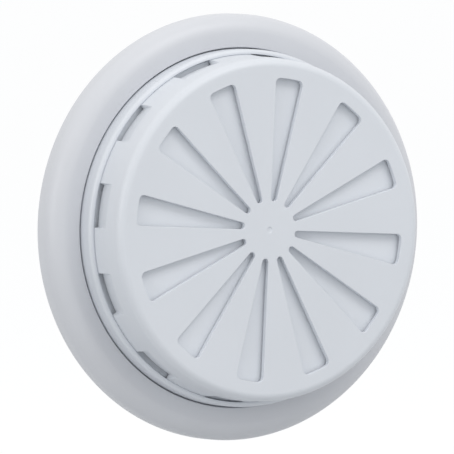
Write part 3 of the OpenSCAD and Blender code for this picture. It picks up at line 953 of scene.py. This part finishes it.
# Pan head self-tapping screw with a cross recess.
def makeScrew(p):
    top = p["bossEnd"] - p["washerThick"]
    shape = [(p["headRadius"] * r, top - p["headHeight"] * h, edge) for r, h, edge in p["headShape"]]
    head = revolve("pivotScrew", [(0, top, 0), (0, top - p["headHeight"], 0)] + shape, finish["screw"], steps=48)
    for turn in (45, 135):
        cutter = crossCutter(p, top, turn)
        cut = head.modifiers.new("cross", "BOOLEAN")
        cut.operation, cut.solver, cut.object = "DIFFERENCE", "EXACT", cutter
        bake(head)
        bpy.data.objects.remove(cutter)
    smoothByAngle(head, 40)
    bake(head)
    core, tipBase = p["shank"] * p["core"], p["tip"] - p["tipLength"]
    shank = revolve("shank", [(0, top - p["washerGap"], 0), (core, top - p["washerGap"], 0),
                              (core, tipBase, 2 * p["threadSink"]), (p["tipRadius"], p["tip"], p["threadSink"]),
                              (0, p["tip"], 0)], None, steps=24)
    joinInto(head, [makeThread(p, top, core), shank])
    return head


# A ring of sheet metal: its corners are (radius, height, rounding).
def makeWasher(name, corners, material, body):
    obj = revolve(name, corners, material, steps=96)
    smoothByAngle(obj, 40)
    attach(obj, body)
    return obj


screw = makeScrew(pivot)
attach(screw, "cap")

inner, outer = pivot["shank"] + pivot["washerGap"], pivot["washerOuter"]
front, back = pivot["bossEnd"], pivot["bossEnd"] - pivot["washerThick"]
washer = makeWasher("pivotWasher", [
    (inner, back, pivot["soft"]), (outer, back, pivot["wide"]),
    (outer, front, pivot["wide"]), (inner, front, pivot["soft"])], finish["screw"], "cap")

inner, outer = pivot["bossRadius"] + pivot["washerGap"], pivot["springOuter"]
front, back = drum["hubBack"], drum["hubBack"] - pivot["springHeight"]
thick, fine = pivot["springThick"], pivot["fine"]
springWasher = makeWasher("springWasher", [
    (inner, front - thick, fine), (outer, back, fine),
    (outer, back + thick, fine), (inner, front, fine)], finish["spring"], "base")

root = cap["back"] + pivot["bossRoot"]
inner, outer, end = pivot["screwHole"], pivot["bossRadius"], pivot["bossEnd"]
boss = revolve("boss", [(inner, end, pivot["bossRoot"]), (outer, end, pivot["washerGap"]),
                        (outer, root, 0), (inner, root, 0)], None, steps=72)
joinInto(capObject, [boss])

print("gasket and screen")

foamRing = {
    "inner": 75.8,
    "outer": 81.8,
    "thick": 3.0,
    "round": 0.3,
}
corners = [(r, h, foamRing["round"]) for r, h in (
    (foamRing["inner"], 0), (foamRing["outer"], 0),
    (foamRing["outer"], foamRing["thick"]), (foamRing["inner"], foamRing["thick"]))]
gasket = revolve("wallGasket", corners, finish["foam"], steps=240)
smoothByAngle(gasket, 40)
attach(gasket, "base")

screen = {
    "bore": 56.6,
    "sleeve": 59.5,
    "sleeveEnd": -27.0,
    "back": -34.0,
    "lip": 60.9,
    "lipThick": 2.0,
    "lipRound": 0.5,
    "round": 0.3,
    "cornerRound": 0.1,
    "seatRound": 0.05,
    "seat": 57.75,
    "middle": -30.1,
    "thick": 1.0,
    "bead": 0.5,
    "beadHeight": -28.3,
    "pitch": 2.8,            # distance between the wires
    "wire": 0.45,
    "wireGap": 0.3,          # from a wire's end to the bottom of the seat
}


def ringCorners(r):
    lip, half = r["back"] - r["lipThick"], r["thick"] / 2
    soft = r["round"]
    return ([(r["bore"], lip, soft), (r["lip"], lip, r["lipRound"]), (r["lip"], r["back"], soft),
             (r["sleeve"], r["back"], r["cornerRound"])]
            + plainCorners(arc(r["sleeve"], r["beadHeight"], r["bead"], -80, 80, 6))
            + [(r["sleeve"], r["sleeveEnd"], soft), (r["bore"], r["sleeveEnd"], soft),
               (r["bore"], r["middle"] + half, r["seatRound"]), (r["seat"], r["middle"] + half, 0),
               (r["seat"], r["middle"] - half, 0), (r["bore"], r["middle"] - half, r["seatRound"])])


screenRing = revolve("screenRing", ringCorners(screen), finish["ring"], steps=288)
smoothByAngle(screenRing, 40)
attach(screenRing, "base")


# Wires side by side, each as long as the round screen lets it be, waving over and under the ones that cross.
def wireTree():
    tree, source, out = repeatTree("woven wires", [
        ("Count", "NodeSocketInt"), ("Pitch", "NodeSocketFloat"), ("Radius", "NodeSocketFloat"),
        ("Wire", "NodeSocketFloat"), ("Height", "NodeSocketFloat"), ("Finish", "NodeSocketMaterial")])
    pi, perCrossing, wireSides = math.pi, 4, 5

    def calc(operation, *values):
        return addNode(tree, "ShaderNodeMath", {"operation": operation}, dict(enumerate(values))).outputs[0]

    sets = []
    for across in (0, 1):
        grid = addNode(tree, "GeometryNodeMeshLine", None, {"Count": source.outputs["Count"], "Offset": (0, 0, 0)})
        index = addNode(tree, "GeometryNodeInputIndex")
        middle = calc("MULTIPLY", calc("SUBTRACT", source.outputs["Count"], 1), 0.5)
        number = calc("SUBTRACT", index.outputs[0], middle)
        side = calc("MULTIPLY", number, source.outputs["Pitch"])
        placed = addNode(tree, "GeometryNodeSetPosition", None, {
            "Geometry": grid.outputs[0],
            "Position": addNode(tree, "ShaderNodeCombineXYZ", None, {"Z": side}).outputs[0]})
        # a straight wire across the whole screen, with some points for each crossing
        length = calc("MULTIPLY", source.outputs["Radius"], 2)
        crossings = calc("CEIL", calc("DIVIDE", length, source.outputs["Pitch"]))
        points = addNode(tree, "FunctionNodeFloatToInt", None, {0: calc("MULTIPLY", crossings, perCrossing)})
        wire = addNode(tree, "GeometryNodeMeshLine", {"mode": "OFFSET"}, {
            "Count": points.outputs[0],
            "Start Location": addNode(tree, "ShaderNodeCombineXYZ", None,
                                      {"X": calc("MULTIPLY", source.outputs["Radius"], -1)}).outputs[0],
            "Offset": addNode(tree, "ShaderNodeCombineXYZ", None,
                              {"X": calc("DIVIDE", source.outputs["Pitch"], perCrossing)}).outputs[0]})
        copies = addNode(tree, "GeometryNodeInstanceOnPoints", None,
                         {"Points": placed.outputs[0], "Instance": wire.outputs[0]})
        real = addNode(tree, "GeometryNodeRealizeInstances", None, {0: copies.outputs[0]})
        place = addNode(tree, "GeometryNodeInputPosition")
        parts = addNode(tree, "ShaderNodeSeparateXYZ", None, {0: place.outputs[0]})
        # over and under: the wave along the wire is half a turn out from one wire to the next
        along = calc("MULTIPLY", calc("DIVIDE", parts.outputs["X"], source.outputs["Pitch"]), pi)
        beside = calc("MULTIPLY", calc("DIVIDE", parts.outputs["Z"], source.outputs["Pitch"]), pi)
        wave = calc("MULTIPLY", calc("COSINE", calc("ADD", calc("ADD", along, beside), pi * across)),
                    calc("MULTIPLY", source.outputs["Wire"], 0.5))
        bent = addNode(tree, "GeometryNodeSetPosition", None, {
            "Geometry": real.outputs[0],
            "Offset": addNode(tree, "ShaderNodeCombineXYZ", None, {"Y": wave}).outputs[0]})
        reach = addNode(tree, "ShaderNodeVectorMath", {"operation": "LENGTH"},
                        {0: addNode(tree, "ShaderNodeCombineXYZ", None,
                                    {"X": parts.outputs["X"], "Z": parts.outputs["Z"]}).outputs[0]})
        outside = addNode(tree, "FunctionNodeCompare", {"operation": "GREATER_THAN"},
                          {0: reach.outputs["Value"], 1: source.outputs["Radius"]})
        trimmed = addNode(tree, "GeometryNodeDeleteGeometry", None,
                          {"Geometry": bent.outputs[0], "Selection": outside.outputs[0]})
        turned = addNode(tree, "GeometryNodeTransform", None,
                         {"Geometry": trimmed.outputs[0], "Rotation": (0, pi / 2 * across, 0)})
        curve = addNode(tree, "GeometryNodeMeshToCurve", None, {0: turned.outputs[0]})
        outline = addNode(tree, "GeometryNodeCurvePrimitiveCircle", {"mode": "RADIUS"},
                          {"Resolution": wireSides, "Radius": calc("MULTIPLY", source.outputs["Wire"], 0.5)})
        tube = addNode(tree, "GeometryNodeCurveToMesh", None,
                       {"Curve": curve.outputs[0], "Profile Curve": outline.outputs[0], "Fill Caps": True})
        sets.append(tube.outputs[0])
    both = addNode(tree, "GeometryNodeJoinGeometry", None, {0: sets[0]})
    tree.links.new(sets[1], both.inputs[0])
    lifted = addNode(tree, "GeometryNodeTransform", None, {
        "Geometry": both.outputs[0],
        "Translation": addNode(tree, "ShaderNodeCombineXYZ", None, {"Y": source.outputs["Height"]}).outputs[0]})
    smooth = addNode(tree, "GeometryNodeSetShadeSmooth", None, {"Geometry": lifted.outputs[0]})
    return endTree(tree, source, out, smooth.outputs[0])


def makeScreen(c):
    obj = makeObject("insectScreen", [], [])
    modifier = obj.modifiers.new("woven wires", "NODES")
    modifier.node_group = wireTree()
    setInputs(modifier, {"Count": int(2 * c["seat"] / c["pitch"]), "Pitch": c["pitch"] * mm,
                         "Radius": (c["seat"] - c["wireGap"]) * mm, "Wire": c["wire"] * mm, "Height": -c["middle"] * mm,
                         "Finish": finish["wire"]})
    bake(obj)
    return obj


insectScreen = makeScreen(screen)
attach(insectScreen, "base")

print("clips and rivets")

clip = {
    "count": 4,
    "turn": 45,
    "width": 11.0,
    "thick": 0.5,
    "start": 4.0,
    "foot": 9.0,
    "arm": 11.0,
    "seat": 60.7,            # flat that the foot lies on
    "tipOut": 0.2,
    "bendIn": 0.9,
    "bendShare": 0.35,       # where along the arm it turns outwards, and where its tip stands out
    "tipShare": 0.85,
    "bendCut": 1.2,
    "bendCutShare": 0.4,
    "bendSteps": 5,
    "soft": 0.12,
    "narrow": 0.25,          # how much narrower the tip is, over so many of the last points
    "narrowOver": 7,
    "rivet": 1.5,
    "head": 2.8,
    "headThick": 0.6,
    "headCrown": 0.25,
    "headEdge": 0.1,
    "crownShare": 0.45,
    "rollShare": 0.55,
    "rollDepth": 0.7,
    "rivetSteps": 28,
    "inner": 59.5,
}


# Side view of a clip's middle line, with its bends rounded.
def clipLine(c):
    foot = c["seat"] + c["thick"] / 2
    bend = -c["start"] - c["foot"]
    pts = [Vector(p) for p in (
        (foot, -c["start"]), (foot, bend), (foot - c["bendIn"], bend - c["bendShare"] * c["arm"]),
        (flange["spigot"] + c["tipOut"] - c["thick"], bend - c["tipShare"] * c["arm"]), (foot, bend - c["arm"]))]
    out = [pts[0]]
    for a, p, b in zip(pts, pts[1:], pts[2:]):
        cut = min(c["bendCut"], (a - p).length * c["bendCutShare"], (b - p).length * c["bendCutShare"])
        p0, p1 = p + (a - p).normalized() * cut, p + (b - p).normalized() * cut
        for t in [k / c["bendSteps"] for k in range(c["bendSteps"] + 1)]:
            out.append(p0 * (1 - t) ** 2 + p * 2 * t * (1 - t) + p1 * t * t)
    return out + [pts[-1]]


def makeClip(c, angle, name):
    line = clipLine(c)
    cos, sin = math.cos(math.radians(angle)), math.sin(math.radians(angle))
    half, soft = c["width"] / 2, c["soft"]
    flat = 1 - 2 * soft / c["thick"]
    across = [(-half + soft, -1), (half - soft, -1), (half, -flat), (half, flat),
              (half - soft, 1), (-half + soft, 1), (-half, flat), (-half, -flat)]
    verts = []
    for i, p in enumerate(line):
        along = (line[min(i + 1, len(line) - 1)] - line[max(i - 1, 0)]).normalized()
        side = Vector((-along.y, along.x))
        narrow = 1 - c["narrow"] * max(0, (i - len(line) + c["narrowOver"]) / c["narrowOver"]) ** 2
        for y, t in across:
            q = p + side * (t * c["thick"] / 2)
            verts.append(((q.x * cos - y * narrow * sin) * mm, -q.y * mm, (q.x * sin + y * narrow * cos) * mm))
    obj = makeObject(name, verts, tubeFaces(len(line), len(across)), finish["spring"])
    smoothByAngle(obj, 50)
    return obj


clipObjects = []
for i in range(clip["count"]):
    obj = makeClip(clip, clip["turn"] + 360 * i / clip["count"], f"springClip{i + 1}")
    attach(obj, "base")
    clipObjects.append(obj)


# One hollow rivet along +X: a domed head inside, a rolled head outside.
def rivetShape(c):
    height = -c["start"] - c["foot"] / 2
    inner, outer = c["inner"] - c["headThick"], c["seat"] + c["thick"] + c["headThick"]
    head, shank, edge, crown = c["head"], c["rivet"], c["headEdge"], c["headCrown"]
    innerBack, outerBack, roll = inner + c["headThick"], outer - c["headThick"], outer - c["rollDepth"]
    profile = rounded([
        (inner + crown, 0, 0), (inner, head * c["crownShare"], 0), (inner, head, crown), (innerBack, head, edge),
        (innerBack, shank, 0), (outerBack, shank, 0), (outerBack, head, edge), (outer, head, crown),
        (outer, shank * c["rollShare"], edge), (roll, shank * c["crownShare"], 0), (roll, 0, 0)])
    verts, faces = [], []
    steps, n = c["rivetSteps"], len(profile)
    for t in [2 * math.pi * k / steps for k in range(steps)]:
        verts += [(x * mm, -(height + r * math.cos(t)) * mm, r * math.sin(t) * mm) for x, r in profile]
    for k in range(steps):
        j = (k + 1) % steps
        faces += [(k * n + i, k * n + i + 1, j * n + i + 1, j * n + i) for i in range(n - 1)]
    obj = makeObject("rivet", verts, faces)
    for poly in obj.data.polygons:
        poly.use_smooth = True
    return obj


rivets = makeObject("clipRivets", [], [])
repeatOn(rivets, addRound, rivetShape(clip), clip["count"], 360 / clip["count"], clip["turn"], finish["rivet"])
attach(rivets, "base")

print("in place of the plain solids")

stands = [(capObject, "front_cap"), (flangeObject, "wall_flange"), (drumObject, "shutter_drum"),
          (screw, "pivot_screw"), (washer, "pivot_washer"), (springWasher, "spring_washer"),
          (gasket, "wall_gasket"), (screenRing, "screen_ring"), (insectScreen, "insect_screen"),
          (rivets, "clip_rivets")]
stands += [(obj, f"spring_clip_{i + 1}") for i, obj in enumerate(clipObjects)]
for piece, node in stands:
    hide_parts(node)
